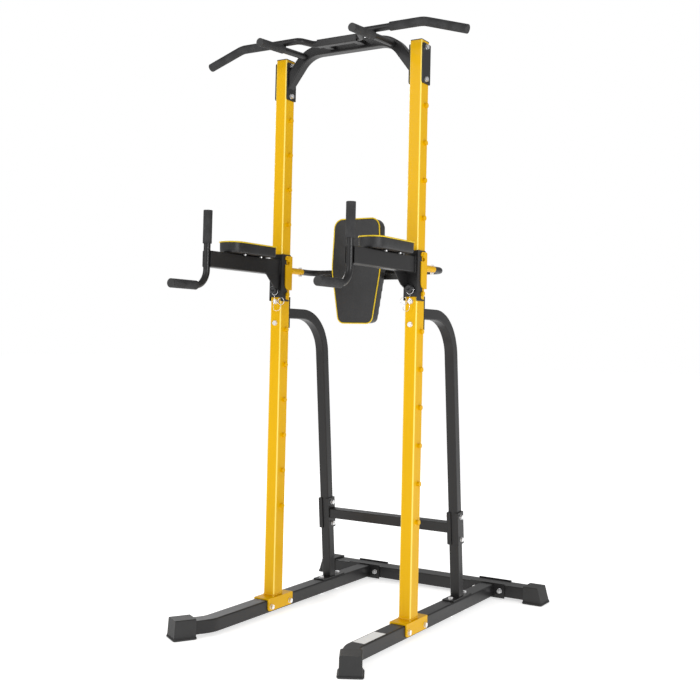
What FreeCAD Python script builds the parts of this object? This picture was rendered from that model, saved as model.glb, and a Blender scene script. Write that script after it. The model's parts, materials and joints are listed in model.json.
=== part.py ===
import FreeCAD, Part
import math
import os

# Power tower: a free-standing pull-up and dip frame with two hook-on dip arms
# and a hook-on backrest.  Millimetres, +Z up, the front of the tower faces -Y.
# Everything is modelled with y = 0 on the front faces of the two uprights and
# moved at export, so that the origin is under the middle of the whole tower.

V = FreeCAD.Vector
X, Y, Z = V(1, 0, 0), V(0, 1, 0), V(0, 0, 1)

# ---------------------------------------------------------------- dimensions
HALF_SPAN = 305.0            # uprights, legs, side beams and arms stand at x = +-HALF_SPAN
WALL = 2.5                   # wall of every square and rectangular tube
HOLE_GAP = 0.25              # radial gap round every bolt

BEAM_WIDTH, BEAM_HEIGHT = 60.0, 50.0
BEAM_BOTTOM = 13.0
BEAM_TOP = BEAM_BOTTOM + BEAM_HEIGHT
BEAM_AXIS = BEAM_BOTTOM + BEAM_HEIGHT / 2
SPLAY = math.radians(30)     # the front ends of the side beams turn outward
SPLAY_CORNER_Y = -364.0
SPLAY_RADIUS = 100.0
SPLAY_REACH = 145.0          # corner of the beam axis to the front of the foot

CROSSBEAM_FRONT, CROSSBEAM_DEPTH = 742.0, 80.0
CROSSBEAM_REAR = CROSSBEAM_FRONT + CROSSBEAM_DEPTH
CROSSBEAM_HALF = 526.0
FLANGE_WIDTH, FLANGE_HEIGHT = 156.0, 60.0
FLANGE_BOLT_SIDE = 57.0
PLATE = 5.0                  # flanges, saddles, leg plates and clamps
BACKING = 4.0

FOOT_WALL = 4.0
FRONT_FOOT = (82.0, 82.5, 72.0)      # width, length, height
REAR_FOOT = (96.0, 81.0, 71.0)
REAR_FOOT_END = 548.0
REAR_FOOT_LEAN = 18.0

UPRIGHT_X, UPRIGHT_Y = 50.0, 60.0
UPRIGHT_CORNER = 5.0
UPRIGHT_TOP = 2200.0
SEAM = 1188.0                # the lower and upper uprights meet here
SLEEVE_HALF = 100.0
SADDLE_FRONT, SADDLE_REAR = -47.0, 116.0
SADDLE_BOTTOM = 20.0
SADDLE_BOLT_Y = (-28.0, 96.0)
SADDLE_BOLT_Z = 36.0
SPLICE_BOLT_Z = (1145.0, 1230.0)
CAP_HEIGHT = 4.0

PEG_TOP, PEG_PITCH, PEG_COUNT = 1960.0, 140.0, 12
PEG_RADIUS = 9.0
PEG_Y = 36.0
PEG_REACH = 10.0             # how far each peg stands out on both sides of its upright
PEG_GAP = 0.1

LEG = 40.0                   # square tube of the rear legs, brace and crossmember
TUBE_CORNER = 4.0
LEG_TOP = 1186.0
LEG_FOOT_Y = 441.0
LEG_LEAN = math.radians(5.7)
LEG_BEND = 170.0
LEG_PLATE_Z = (1127.0, 1251.0)
FOOT_PLATE_Y = (358.0, 525.0)
FOOT_BOLT_Y = (382.0, 508.0)
BRACE_Z = 344.0
CLAMP_HALF = 64.5            # half the height of the brace's end brackets
CLAMP_WRAP = 12.0            # how far their lips wrap round the leg
CLAMP_BOLT = 45.0            # bolts above and below the brace

TOP_PLATE_Y = (2.0, 62.0)
TOP_PLATE_Z = (2040.0, 2190.0)
TOP_BOLT_Z = (2056.0, 2177.0)
TOP_BOLT_Y = 28.0
ARCH_Y = 30.0                # centre of the crossmember over the uprights
ARCH_TOP = 2223.0
ARCH_CORNER_X = 193.5
ARCH_SLOPE = math.radians(52)
ARCH_BEND = 120.0

BAR = 28.0                   # square centre bar in front of the crossmember
BAR_Y, BAR_Z, BAR_HALF = -61.0, 2221.0, 88.0
POST_X = 76.0 - BAR / 4
HANDLE_R, GRIP_R = 12.5, 16.5
HANDLE_WALL = 2.0
GRIP_GAP = 0.1
WIDE_Y = -128.0
WIDE_BEND_X = 403.0
WIDE_END = V(568, -115, 2173)
WIDE_GRIP_X = 268.0
NEUTRAL_X = 201.0
NEUTRAL_ROOT, NEUTRAL_END = V(NEUTRAL_X, 10, 2203), V(NEUTRAL_X, -284, 2184)
NEUTRAL_GRIP = 144.0
NEUTRAL_GRIP_R = 15.5
PLUG = 3.0                   # thickness of the end plugs' rims

# Dip arms
FACE_GAP = 0.3               # arm brackets to the upright, and between hook plates
HOOK_PEG = PEG_TOP - 4 * PEG_PITCH
LOWER_PEG = HOOK_PEG - PEG_PITCH
LIFT = 12.0                  # an arm or the backrest is raised this far to unhook
SLOT_R = PEG_RADIUS + 0.3
BRACKET_PLATE = 3.0
ARM_TUBE_X, ARM_TUBE_Z = 40.0, 60.0
ARM_AXIS_Z = 1366.0
HANDLE_Y, HANDLE_FRONT = -432.0, -620.0
HANDLE_TOP, HANDLE_LOW = 1540.0, 1267.0
HANDLE_BEND = 60.0
KNOB_Z, KNOB_RADIUS = 1276.0, 16.0
KNOB_FRONT, KNOB_BACK = -25.0, -13.6
SCREW_R, BOSS_R = 5.0, 9.0
PAD_FRONT, PAD_REAR, PAD_HALF = -326.0, -66.0, 50.0
TAB_Y = (-250.0, -150.0)
TAB_X = 33.0
TAB_THICK = 3.0
BOARD = 10.0
PAD_TOP = 1443.0

# Backrest
HOOK_INNER = UPRIGHT_X / 2 + 4.0     # inner faces of the backrest's hook plates
BACK_PLATE_Z = (1278.0, 1414.0)
STUB_Z, STUB_END = 1360.0, 176.0
STUB_WALL = 1.9
LOOP_Y, LOOP_BEND = 262.0, 45.0
JOINT_BOLT_Y = 166.0
RAIL_Y, RAIL_Z, RAIL_HALF = 168.0, 1334.0, 190.0
RAIL_Y_SIZE, RAIL_Z_SIZE = 20.0, 22.0
RAIL_ARM_X = 60.0
BACK_PAD_FRONT, BACK_PAD_REAR = 103.0, 150.0
BACK_PAD_WRAP = 6.0          # the pad's cover wraps this far round the edge of its board
BACK_BOARD_REAR = RAIL_Y - RAIL_Y_SIZE / 2

M10, M8, M6 = 5.0, 4.0, 3.0  # bolt shank radii
HEAD_R = 1.7                 # half the width across a head's flats, in shank radii

FRONT_EXTENT = HANDLE_FRONT - PLUG
REAR_EXTENT = CROSSBEAM_REAR + BACKING + 0.3 * M10 + 1.2 * M10
MIDDLE_Y = (FRONT_EXTENT + REAR_EXTENT) / 2


# ------------------------------------------------------------------- helpers
def box(x0, x1, y0, y1, z0, z1):
    return Part.makeBox(x1 - x0, y1 - y0, z1 - z0, V(x0, y0, z0))


def rod(start, direction, radius, length):
    return Part.makeCylinder(radius, length, start, direction)


def mirrored(shape):
    return shape.mirror(V(0, 0, 0), X)


def both(shape):
    """The shape and its mirror image, as one group of separate solids."""
    return Part.makeCompound(shape.Solids + mirrored(shape).Solids)


def group(shapes):
    return Part.makeCompound([solid for shape in shapes for solid in shape.Solids])


def fused(shapes):
    return shapes[0].multiFuse(shapes[1:]).removeSplitter()


def corner_edges(points, radii, closed=False):
    """Lines through the points, with an arc of the given radius at each corner."""
    count = len(points)
    corners = range(count) if closed else range(1, count - 1)
    edges = []
    start = None if closed else points[0]
    first = None
    for index, radius in zip(corners, radii):
        corner = points[index]
        back = (points[index - 1] - corner).normalize()
        ahead = (points[(index + 1) % count] - corner).normalize()
        half = back.getAngle(ahead) / 2
        inward = (back + ahead).normalize()
        enter = corner + back * (radius / math.tan(half))
        leave = corner + ahead * (radius / math.tan(half))
        crown = corner + inward * (radius / math.sin(half) - radius)
        if start is not None:
            edges.append(Part.makeLine(start, enter))
        else:
            first = enter
        edges.append(Part.Arc(enter, crown, leave).toShape())
        start = leave
    edges.append(Part.makeLine(start, first if closed else points[-1]))
    return edges


def bent_path(points, radii):
    return Part.Wire(corner_edges(points, radii))


def outline(points, radii):
    return Part.Wire(corner_edges(points, radii, closed=True))


def rounded_rectangle(centre, across, upward, width, height, radius):
    half_w, half_h = across * (width / 2), upward * (height / 2)
    points = [centre - half_w - half_h, centre + half_w - half_h,
              centre + half_w + half_h, centre - half_w + half_h]
    return outline(points, [radius] * 4)


def straight_tube(start, end, across, upward, width, height, radius, wall=WALL):
    outer = rounded_rectangle(start, across, upward, width, height, radius)
    inner = rounded_rectangle(start, across, upward, width - 2 * wall, height - 2 * wall,
                              max(radius - wall, 1.0))
    return Part.Face(outer).extrude(end - start).cut(Part.Face(inner).extrude(end - start))


def swept(section, path):
    return path.makePipeShell([section], True, False)


def bent_square_tube(points, radii, across, upward, width, height, radius):
    path = bent_path(points, radii)
    outer = rounded_rectangle(points[0], across, upward, width, height, radius)
    inner = rounded_rectangle(points[0], across, upward, width - 2 * WALL, height - 2 * WALL,
                              radius - WALL)
    return swept(outer, path).cut(swept(inner, path))


def swept_round(points, radii, radius):
    section = Part.Wire(Part.makeCircle(radius, points[0], points[1] - points[0]))
    return swept(section, bent_path(points, radii))


def round_tube(points, radii, radius, wall):
    return swept_round(points, radii, radius).cut(swept_round(points, radii, radius - wall))


def plate_outline(points, radii, thickness_vector):
    return Part.Face(outline(points, radii)).extrude(thickness_vector)


def hexagon(start, direction, flat_radius, length):
    corners = [V(flat_radius / math.cos(math.pi / 6), 0, 0)]
    for step in range(6):
        turn = FreeCAD.Rotation(Z, 60)
        corners.append(turn.multVec(corners[-1]))
    prism = Part.Face(Part.makePolygon(corners)).extrude(V(0, 0, length))
    prism.Placement = FreeCAD.Placement(start, FreeCAD.Rotation(Z, direction))
    return prism


def bolt(start, direction, grip, radius, washer=True, nut=True):
    """A hex bolt clamping `grip` of material that begins at `start`."""
    ring = 0.3 * radius if washer else 0.0
    flat = HEAD_R * radius
    pieces = [hexagon(start - direction * (ring + 1.2 * radius), direction, flat, 1.2 * radius)]
    tail = 0.0
    if nut:
        end = start + direction * grip
        pieces.append(hexagon(end + direction * ring, direction, flat, 1.6 * radius))
        tail = ring + 1.6 * radius + 0.3 * radius
        if washer:
            pieces.append(rod(end, direction, 2 * radius, ring))
    if washer:
        pieces.append(rod(start - direction * ring, direction, 2 * radius, ring))
    pieces.append(rod(start - direction * ring, direction, radius, ring + grip + tail))
    return fused(pieces)


def bolt_hole(start, direction, length, radius):
    return rod(start - direction, direction, radius + HOLE_GAP, length + 2)


def grip_tube(points, radii, outer_radius):
    """Foam sleeve round a handle tube."""
    return swept_round(points, radii, outer_radius).cut(
        swept_round(points, radii, HANDLE_R + GRIP_GAP))


def end_plug(tip, direction, rim_radius):
    """Plastic plug: a rim over the end of a grip and a stem inside its tube."""
    rim = rod(tip, direction, rim_radius, PLUG)
    rim = rim.makeFillet(1.2, [max(rim.Edges, key=lambda edge: edge.BoundBox.Center.dot(direction)
                                   if len(edge.Vertexes) == 1 else -1e9)])
    stem = rod(tip - direction * 12, direction, HANDLE_R - HANDLE_WALL - GRIP_GAP, 12)
    return rim.fuse(stem)


# --------------------------------------------------------------------- base
def splay_point(reach, side=0.0):
    """A point on the splayed front stretch of a side beam, at its axis height."""
    along = V(math.sin(SPLAY), -math.cos(SPLAY), 0)
    across = V(math.cos(SPLAY), math.sin(SPLAY), 0)
    return V(HALF_SPAN, SPLAY_CORNER_Y, BEAM_AXIS) + along * reach + across * side


def flange_holes(y, depth):
    return [bolt_hole(V(HALF_SPAN + side, y, BEAM_AXIS), Y, depth, M10)
            for side in (-FLANGE_BOLT_SIDE, FLANGE_BOLT_SIDE)]


def base_beam():
    rear = V(HALF_SPAN, CROSSBEAM_FRONT - PLATE, BEAM_AXIS)
    front = splay_point(SPLAY_REACH - FOOT_WALL)
    tube = bent_square_tube([rear, splay_point(0), front], [SPLAY_RADIUS], X, Z,
                            BEAM_WIDTH, BEAM_HEIGHT, UPRIGHT_CORNER)
    flange = box(HALF_SPAN - FLANGE_WIDTH / 2, HALF_SPAN + FLANGE_WIDTH / 2,
                 CROSSBEAM_FRONT - PLATE, CROSSBEAM_FRONT,
                 BEAM_AXIS - FLANGE_HEIGHT / 2, BEAM_AXIS + FLANGE_HEIGHT / 2)
    beam = tube.fuse(flange)
    holes = flange_holes(CROSSBEAM_FRONT - PLATE, PLATE)
    holes += [bolt_hole(V(HALF_SPAN - 40, y, SADDLE_BOLT_Z), X, 80, M10) for y in SADDLE_BOLT_Y]
    holes += [bolt_hole(V(HALF_SPAN, y, 0), Z, BEAM_TOP + 5, M10) for y in FOOT_BOLT_Y]
    return beam.cut(group(holes))


def foot(width, length, height, lean):
    """Rubber cap over a beam end that points along -Y, its end wall at y = 0."""
    half = width / 2
    lip, waist, crown = 8.0, 3.5, 6.0
    profile = outline(
        [V(-half, 0, 0), V(half, 0, 0), V(half, 0, lip), V(half - waist, 0, lip + 5),
         V(half - waist, 0, height), V(-half + waist, 0, height),
         V(-half + waist, 0, lip + 5), V(-half, 0, lip)],
        [2.0, 2.0, 2.0, 2.0, crown, crown, 2.0, 2.0])
    cap = Part.Face(profile).extrude(V(0, length, 0))
    slope = Part.makePolygon([V(-half - 1, -1, lip), V(-half - 1, -1, height + 1),
                              V(-half - 1, lean, height + 1), V(-half - 1, 0, lip),
                              V(-half - 1, -1, lip)])
    return cap.cut(Part.Face(slope).extrude(V(width + 2, 0, 0)))


def front_foot():
    width, length, height = FRONT_FOOT
    cap = foot(width, length, height, 4.0)
    cap.rotate(V(0, 0, 0), Z, math.degrees(SPLAY))
    tip = splay_point(SPLAY_REACH)
    cap.translate(V(tip.x, tip.y, 0))
    pocket_start = splay_point(SPLAY_REACH - FOOT_WALL)
    pocket_end = splay_point(SPLAY_REACH - length - 5)
    across = V(math.cos(SPLAY), math.sin(SPLAY), 0)
    pocket = rounded_rectangle(pocket_start, across, Z, BEAM_WIDTH, BEAM_HEIGHT, UPRIGHT_CORNER - 1)
    return cap.cut(Part.Face(pocket).extrude(pocket_end - pocket_start))


def rear_foot():
    width, length, height = REAR_FOOT
    cap = foot(width, length, height, REAR_FOOT_LEAN)
    cap.rotate(V(0, 0, 0), Z, 90)
    cap.translate(V(REAR_FOOT_END, CROSSBEAM_FRONT + CROSSBEAM_DEPTH / 2, 0))
    centre = V(CROSSBEAM_HALF, CROSSBEAM_FRONT + CROSSBEAM_DEPTH / 2, BEAM_AXIS)
    pocket = rounded_rectangle(centre, Y, Z, CROSSBEAM_DEPTH, BEAM_HEIGHT, UPRIGHT_CORNER - 1)
    return cap.cut(Part.Face(pocket).extrude(V(-length, 0, 0)))


def rear_crossbeam():
    centre = V(0, CROSSBEAM_FRONT + CROSSBEAM_DEPTH / 2, BEAM_AXIS)
    half = X * CROSSBEAM_HALF
    tube = straight_tube(centre - half, centre + half, Y, Z, CROSSBEAM_DEPTH, BEAM_HEIGHT,
                         UPRIGHT_CORNER)
    return tube.cut(both(group(flange_holes(CROSSBEAM_FRONT, CROSSBEAM_DEPTH))))


def backing_plates():
    plate = box(HALF_SPAN - 75, HALF_SPAN + 75, CROSSBEAM_REAR, CROSSBEAM_REAR + BACKING,
                BEAM_AXIS - FLANGE_HEIGHT / 2, BEAM_AXIS + FLANGE_HEIGHT / 2)
    return both(plate.cut(group(flange_holes(CROSSBEAM_REAR, BACKING))))


def crossbeam_bolts():
    rear = CROSSBEAM_REAR + BACKING
    return both(group([bolt(V(HALF_SPAN + side, rear, BEAM_AXIS), -Y,
                            rear - CROSSBEAM_FRONT + PLATE, M10)
                       for side in (-FLANGE_BOLT_SIDE, FLANGE_BOLT_SIDE)]))


def base_label():
    return box(HALF_SPAN - 23, HALF_SPAN + 23, -322, -176, BEAM_TOP, BEAM_TOP + 0.4)


# ----------------------------------------------------------------- uprights
def peg_heights():
    return [PEG_TOP - PEG_PITCH * step for step in range(PEG_COUNT)]


def peg(z, gap=0.0):
    half = UPRIGHT_X / 2 + PEG_REACH
    return rod(V(HALF_SPAN - half, PEG_Y, z), X, PEG_RADIUS + gap, 2 * half)


def upright_cuts():
    cuts = [peg(z, PEG_GAP) for z in peg_heights()]
    cuts += [bolt_hole(V(HALF_SPAN, -5, z), Y, 75, M10) for z in SPLICE_BOLT_Z]
    cuts += [bolt_hole(V(HALF_SPAN - 40, TOP_BOLT_Y, z), X, 80, M10) for z in TOP_BOLT_Z]
    return group(cuts)


def upright_tube(z0, z1):
    centre = V(HALF_SPAN, UPRIGHT_Y / 2, z0)
    return straight_tube(centre, centre + Z * (z1 - z0), X, Y, UPRIGHT_X, UPRIGHT_Y,
                         UPRIGHT_CORNER).cut(upright_cuts())


def saddle():
    """Inverted channel that straddles the side beam under an upright."""
    half = BEAM_WIDTH / 2
    top = BEAM_TOP + PLATE
    cheek = plate_outline(
        [V(HALF_SPAN + half, SADDLE_FRONT, SADDLE_BOTTOM), V(HALF_SPAN + half, SADDLE_REAR, SADDLE_BOTTOM),
         V(HALF_SPAN + half, SADDLE_REAR, top), V(HALF_SPAN + half, SADDLE_FRONT, top)],
        [12.0, 12.0, 2.0, 2.0], V(PLATE, 0, 0))
    other = cheek.translated(V(-BEAM_WIDTH - PLATE, 0, 0))
    deck = box(HALF_SPAN - half, HALF_SPAN + half, SADDLE_FRONT, SADDLE_REAR, BEAM_TOP, top)
    holes = [bolt_hole(V(HALF_SPAN - 40, y, SADDLE_BOLT_Z), X, 80, M10) for y in SADDLE_BOLT_Y]
    return fused([cheek, other, deck]).cut(group(holes))


def upright_lower():
    return upright_tube(BEAM_TOP + PLATE, SEAM).fuse(saddle())


def upright_upper():
    return upright_tube(SEAM, UPRIGHT_TOP)


def splice_sleeves():
    centre = V(HALF_SPAN, UPRIGHT_Y / 2, SEAM - SLEEVE_HALF)
    slack = 2 * WALL + 0.4
    tube = straight_tube(centre, centre + Z * (2 * SLEEVE_HALF), X, Y, UPRIGHT_X - slack,
                         UPRIGHT_Y - slack, UPRIGHT_CORNER - 1, 2.0)
    return both(tube.cut(upright_cuts()))


def upright_caps():
    lid = rounded_rectangle(V(HALF_SPAN, UPRIGHT_Y / 2, UPRIGHT_TOP), X, Y, UPRIGHT_X, UPRIGHT_Y,
                            UPRIGHT_CORNER)
    lid = Part.Face(lid).extrude(Z * CAP_HEIGHT)
    lid = lid.makeFillet(2.0, [edge for edge in lid.Edges
                               if edge.BoundBox.ZMin > UPRIGHT_TOP + CAP_HEIGHT - 0.1])
    slack = 2 * WALL + 0.6
    stem = box(HALF_SPAN - UPRIGHT_X / 2 + slack / 2, HALF_SPAN + UPRIGHT_X / 2 - slack / 2,
               slack / 2, UPRIGHT_Y - slack / 2, UPRIGHT_TOP - 10, UPRIGHT_TOP)
    stem = stem.makeFillet(4.0, [edge for edge in stem.Edges if edge.BoundBox.ZLength > 5])
    return both(lid.fuse(stem))


def pegs():
    return both(group([peg(z) for z in peg_heights()]))


def saddle_bolts():
    outer = HALF_SPAN + BEAM_WIDTH / 2 + PLATE
    return both(group([bolt(V(outer, y, SADDLE_BOLT_Z), -X, BEAM_WIDTH + 2 * PLATE, M10)
                       for y in SADDLE_BOLT_Y]))


def splice_bolts():
    return both(group([bolt(V(HALF_SPAN, 0, z), Y, UPRIGHT_Y + PLATE, M10)
                       for z in SPLICE_BOLT_Z]))


# ---------------------------------------------------------------- rear legs
def leg_y(z):
    """Centre of the leaning stretch of a leg at height z."""
    return LEG_FOOT_Y - (z - BEAM_TOP - PLATE) * math.tan(LEG_LEAN)


def lean_frame(shape):
    """Move a shape drawn round the origin to the brace's height, leaning with the legs."""
    leaned = shape.copy()
    leaned.rotate(V(0, 0, 0), X, math.degrees(LEG_LEAN))
    leaned.translate(V(0, leg_y(BRACE_Z), BRACE_Z))
    return leaned


def clamp_cuts():
    return lean_frame(group([bolt_hole(V(HALF_SPAN - 40, 0, z), X, 80, M10)
                             for z in (-CLAMP_BOLT, CLAMP_BOLT)]))


def rear_leg():
    deck = BEAM_TOP + PLATE
    rear_face = UPRIGHT_Y
    tube = bent_square_tube(
        [V(HALF_SPAN, rear_face + PLATE, LEG_TOP), V(HALF_SPAN, leg_y(LEG_TOP), LEG_TOP),
         V(HALF_SPAN, leg_y(deck - 10), deck - 10)],
        [LEG_BEND], X, Z, LEG, LEG, TUBE_CORNER)
    tube = tube.cut(box(200, 400, 300, 600, 0, deck))
    top_plate = box(HALF_SPAN - UPRIGHT_X / 2, HALF_SPAN + UPRIGHT_X / 2, rear_face,
                    rear_face + PLATE, *LEG_PLATE_Z)
    foot_plate = box(HALF_SPAN - UPRIGHT_X / 2, HALF_SPAN + UPRIGHT_X / 2, *FOOT_PLATE_Y,
                     BEAM_TOP, deck)
    holes = [bolt_hole(V(HALF_SPAN, rear_face, z), Y, PLATE, M10) for z in SPLICE_BOLT_Z]
    holes += [bolt_hole(V(HALF_SPAN, y, BEAM_TOP), Z, PLATE, M10) for y in FOOT_BOLT_Y]
    leg = fused([tube, top_plate, foot_plate])
    return leg.cut(group(holes)).cut(clamp_cuts())


def leg_foot_bolts():
    return both(group([bolt(V(HALF_SPAN, y, BEAM_TOP + PLATE), -Z, BEAM_HEIGHT + PLATE, M10)
                       for y in FOOT_BOLT_Y]))


def clamp_channel(outward):
    """Channel that wraps one side of a leg, drawn upright round the origin."""
    wall = HALF_SPAN + outward * LEG / 2
    lip = wall - outward * CLAMP_WRAP
    web = wall + outward * PLATE
    low, high = sorted((wall, web))
    near, far = sorted((lip, web))
    return fused([
        box(low, high, -LEG / 2 - PLATE, LEG / 2 + PLATE, -CLAMP_HALF, CLAMP_HALF),
        box(near, far, -LEG / 2 - PLATE, -LEG / 2, -CLAMP_HALF, CLAMP_HALF),
        box(near, far, LEG / 2, LEG / 2 + PLATE, -CLAMP_HALF, CLAMP_HALF)])


def leg_cross_brace():
    reach = HALF_SPAN - LEG / 2 - PLATE
    tube = straight_tube(V(-reach, 0, 0), V(reach, 0, 0), Y, Z, LEG, LEG, TUBE_CORNER)
    inner = clamp_channel(-1)
    brace = lean_frame(fused([tube, inner, mirrored(inner)]))
    return brace.cut(both(clamp_cuts()))


def leg_clamp_plates():
    return both(lean_frame(clamp_channel(1)).cut(clamp_cuts()))


def clamp_bolts():
    outer = HALF_SPAN + LEG / 2 + PLATE
    return both(lean_frame(group([bolt(V(outer, 0, z), -X, LEG + 2 * PLATE, M10)
                                  for z in (-CLAMP_BOLT, CLAMP_BOLT)])))


# --------------------------------------------------------------- top frame
def top_plate(x):
    (y0, y1), (z0, z1) = TOP_PLATE_Y, TOP_PLATE_Z
    plate = plate_outline([V(x, y0, z0), V(x, y1, z0), V(x, y1, z1), V(x, y0, z1)],
                          [8.0, 3.0, 3.0, 8.0], V(PLATE, 0, 0))
    holes = [bolt_hole(V(x, TOP_BOLT_Y, z), X, PLATE, M10) for z in TOP_BOLT_Z]
    return plate.cut(group(holes))


def top_crossmember():
    inner_face = HALF_SPAN - UPRIGHT_X / 2 - PLATE
    drop = (inner_face + 30 - ARCH_CORNER_X) * math.tan(ARCH_SLOPE)
    end = V(inner_face + 30, ARCH_Y, ARCH_TOP - drop)
    corner = V(ARCH_CORNER_X, ARCH_Y, ARCH_TOP)
    tube = bent_square_tube(
        [V(-end.x, end.y, end.z), V(-corner.x, corner.y, corner.z), corner, end],
        [ARCH_BEND, ARCH_BEND], Y,
        V(-math.sin(ARCH_SLOPE), 0, math.cos(ARCH_SLOPE)), LEG, LEG, TUBE_CORNER)
    tube = tube.common(box(-inner_face, inner_face, -50, 100, 2000, 2300))
    plate = top_plate(inner_face)
    return fused([tube, plate, mirrored(plate)])


def top_side_plates():
    return both(top_plate(HALF_SPAN + UPRIGHT_X / 2))


def top_bracket_bolts():
    outer = HALF_SPAN + UPRIGHT_X / 2 + PLATE
    return both(group([bolt(V(outer, TOP_BOLT_Y, z), -X, UPRIGHT_X + 2 * PLATE, M10)
                       for z in TOP_BOLT_Z]))


def front_bar():
    bar = straight_tube(V(-BAR_HALF, BAR_Y, BAR_Z), V(BAR_HALF, BAR_Y, BAR_Z), Y, Z,
                        BAR, BAR, TUBE_CORNER, 2.0)
    post = straight_tube(V(POST_X, BAR_Y + BAR / 2, BAR_Z), V(POST_X, ARCH_Y - LEG / 2, BAR_Z),
                         X, Z, BAR, BAR - 2 * TUBE_CORNER - 2, TUBE_CORNER, 2.0)
    return fused([bar, post, mirrored(post)])


def wide_points():
    return [V(BAR_HALF, BAR_Y, BAR_Z), V(BAR_HALF + 18, BAR_Y, BAR_Z), V(BAR_HALF + 44, WIDE_Y, BAR_Z),
            V(WIDE_BEND_X, WIDE_Y, BAR_Z), WIDE_END]


WIDE_BENDS = [24.0, 26.0, 120.0]


def wide_handle():
    return round_tube(wide_points(), WIDE_BENDS, HANDLE_R, HANDLE_WALL)


def wide_grip():
    points = [V(WIDE_GRIP_X, WIDE_Y, BAR_Z)] + wide_points()[-2:]
    return grip_tube(points, WIDE_BENDS[-1:], GRIP_R)


def neutral_direction():
    return (NEUTRAL_END - NEUTRAL_ROOT).normalize()


def neutral_handle():
    start = NEUTRAL_ROOT - neutral_direction() * 5
    outer = swept_round([start, NEUTRAL_END], [], HANDLE_R)
    bore = swept_round([start, NEUTRAL_END], [], HANDLE_R - HANDLE_WALL)
    tab = box(NEUTRAL_X - 3, NEUTRAL_X + 3, WIDE_Y - 7, WIDE_Y + 7, NEUTRAL_ROOT.z - 6, BAR_Z)
    crossing = swept_round([V(NEUTRAL_X - 20, WIDE_Y, BAR_Z), V(NEUTRAL_X + 20, WIDE_Y, BAR_Z)],
                           [], HANDLE_R)
    behind = box(NEUTRAL_X - 50, NEUTRAL_X + 50, ARCH_Y - LEG / 2, 100, 2100, 2300)
    return outer.fuse(tab.cut(crossing)).cut(bore).cut(behind)


def neutral_grips():
    start = NEUTRAL_END - neutral_direction() * NEUTRAL_GRIP
    return both(grip_tube([start, NEUTRAL_END], [], NEUTRAL_GRIP_R))


def bar_end_caps():
    wide_direction = (WIDE_END - V(WIDE_BEND_X, WIDE_Y, BAR_Z)).normalize()
    return both(group([end_plug(WIDE_END, wide_direction, GRIP_R),
                       end_plug(NEUTRAL_END, neutral_direction(), NEUTRAL_GRIP_R)]))


# ---------------------------------------------------------------- dip arms
def hook_slot(z, toward, inner, outer):
    """Opening for a peg: a seat at height z, LIFT down, then out along toward (+-Y)."""
    half = SLOT_R
    seat = rod(V(inner, PEG_Y, z), X, half, outer - inner)
    drop = box(inner, outer, PEG_Y - half, PEG_Y + half, z - LIFT, z)
    elbow = rod(V(inner, PEG_Y, z - LIFT), X, half, outer - inner)
    y0, y1 = sorted((PEG_Y, PEG_Y + toward * 80))
    mouth = box(inner, outer, y0, y1, z - LIFT - half, z - LIFT + half)
    return fused([seat, drop, elbow, mouth])


def arm_bracket():
    """Channel on the front of an upright, with hooks on two pegs on each side."""
    front, face = -FACE_GAP - PLATE, -FACE_GAP
    inner = UPRIGHT_X / 2 + 0.5
    outer = inner + BRACKET_PLATE
    plate = box(HALF_SPAN - outer, HALF_SPAN + outer, front, face, 1247, 1418)
    x = HALF_SPAN + inner
    cheek = plate_outline(
        [V(x, front, 1232.5), V(x, 49, 1232.5), V(x, 49, 1245), V(x, 30, 1285), V(x, 30, 1366),
         V(x, 58, 1384), V(x, 58, 1419), V(x, front, 1419)],
        [4.0, 3.0, 3.0, 10.0, 10.0, 3.0, 6.0, 4.0], V(BRACKET_PLATE, 0, 0))
    other = cheek.translated(V(-inner - outer, 0, 0))
    reach = (HALF_SPAN - outer - 1, HALF_SPAN + outer + 1)
    slots = [hook_slot(HOOK_PEG, 1, *reach), hook_slot(LOWER_PEG, 1, *reach)]
    eye = rod(V(HALF_SPAN - outer - 1, -2.8, 1245.5), X, 2.3, BRACKET_PLATE + 2)
    return fused([plate, cheek.cut(group(slots)), other.cut(group(slots)).cut(eye)])


def arm_frame():
    front = -FACE_GAP - PLATE
    low, high = ARM_AXIS_Z - ARM_TUBE_Z / 2, ARM_AXIS_Z + ARM_TUBE_Z / 2
    centre = V(HALF_SPAN, front, ARM_AXIS_Z)
    tube = straight_tube(centre, V(HALF_SPAN, HANDLE_Y, ARM_AXIS_Z), X, Z, ARM_TUBE_X, ARM_TUBE_Z,
                         TUBE_CORNER)
    tube = tube.cut(rod(V(HALF_SPAN, HANDLE_Y, low - 5), Z, HANDLE_R + 0.05, ARM_TUBE_Z + 10))
    tube = max(tube.Solids, key=lambda solid: solid.Volume)
    inner_wall = HALF_SPAN - ARM_TUBE_X / 2
    gusset = plate_outline([V(inner_wall - 0.5, front, low + 2), V(inner_wall - 0.5, front, 1272),
                            V(inner_wall - 0.5, -46, 1290), V(inner_wall - 0.5, -99, low + 2)],
                           [1.0, 1.0, 12.0, 1.0], V(4, 0, 0))
    tabs = [box(HALF_SPAN - TAB_X - 8, HALF_SPAN + TAB_X + 8, y - 12, y + 12, high, high + TAB_THICK)
            for y in TAB_Y]
    boss = rod(V(HALF_SPAN, front, KNOB_Z), -Y, BOSS_R, 8)
    frame = fused([arm_bracket(), tube, gusset, boss] + tabs)
    holes = [rod(V(HALF_SPAN + side, y, high - 5), Z, M6 + HOLE_GAP, 20)
             for side in (-TAB_X, TAB_X) for y in TAB_Y]
    holes.append(rod(V(HALF_SPAN, 5, KNOB_Z), -Y, SCREW_R + 0.1, 30))
    return frame.cut(group(holes))


def arm_handle():
    return round_tube([V(HALF_SPAN, HANDLE_Y, HANDLE_TOP), V(HALF_SPAN, HANDLE_Y, HANDLE_LOW),
                       V(HALF_SPAN, HANDLE_FRONT, HANDLE_LOW)], [HANDLE_BEND], HANDLE_R,
                      HANDLE_WALL)


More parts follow.
